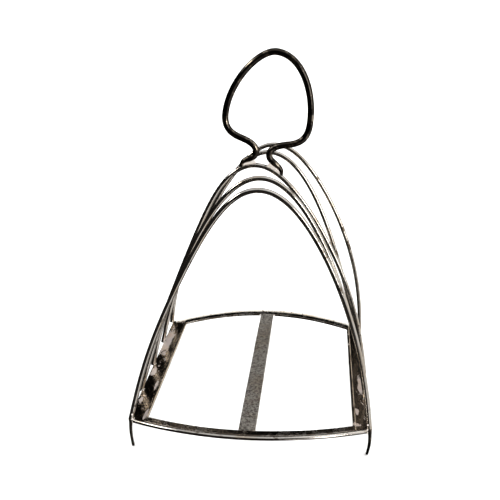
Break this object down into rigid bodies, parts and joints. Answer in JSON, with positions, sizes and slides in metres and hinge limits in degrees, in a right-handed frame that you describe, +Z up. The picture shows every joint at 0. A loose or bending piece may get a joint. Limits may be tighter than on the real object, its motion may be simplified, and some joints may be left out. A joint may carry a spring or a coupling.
{
  "type": "toast rack",
  "caption": "Old silver wirework toast rack: pointed arched hoops on an open bowed base frame with short tapered feet and a heart-shaped ring handle.",
  "frame": {"origin": "middle of the footprint on the surface that the four feet stand on", "axes": "+X across the hoops to the right seen from the front, +Y along the row of hoops from front to rear, +Z up"},
  "size_m": [0.0923, 0.1162, 0.144],
  "materials": {
    "wire_silver": "old polished silver wire with tarnish in the joints",
    "handle_silver": "polished silver darkened by tarnish",
    "strip_silver": "worn silver strip with dark tarnish patches",
    "centre_silver": "matt pitted grey silver"
  },
  "bodies": {
    "root": {"front_hoop": "wire_silver", "second_hoop": "wire_silver", "middle_hoop": "wire_silver", "fourth_hoop": "wire_silver", "rear_hoop": "wire_silver", "left_side_bar": "strip_silver", "right_side_bar": "strip_silver", "centre_bar": "centre_silver", "front_end_bar": "strip_silver", "rear_end_bar": "strip_silver", "front_rim_wire": "wire_silver", "rear_rim_wire": "wire_silver", "handle_loop": "handle_silver", "front_left_foot": "wire_silver", "front_right_foot": "wire_silver", "rear_left_foot": "wire_silver", "rear_right_foot": "wire_silver"}
  },
  "joints": []
}
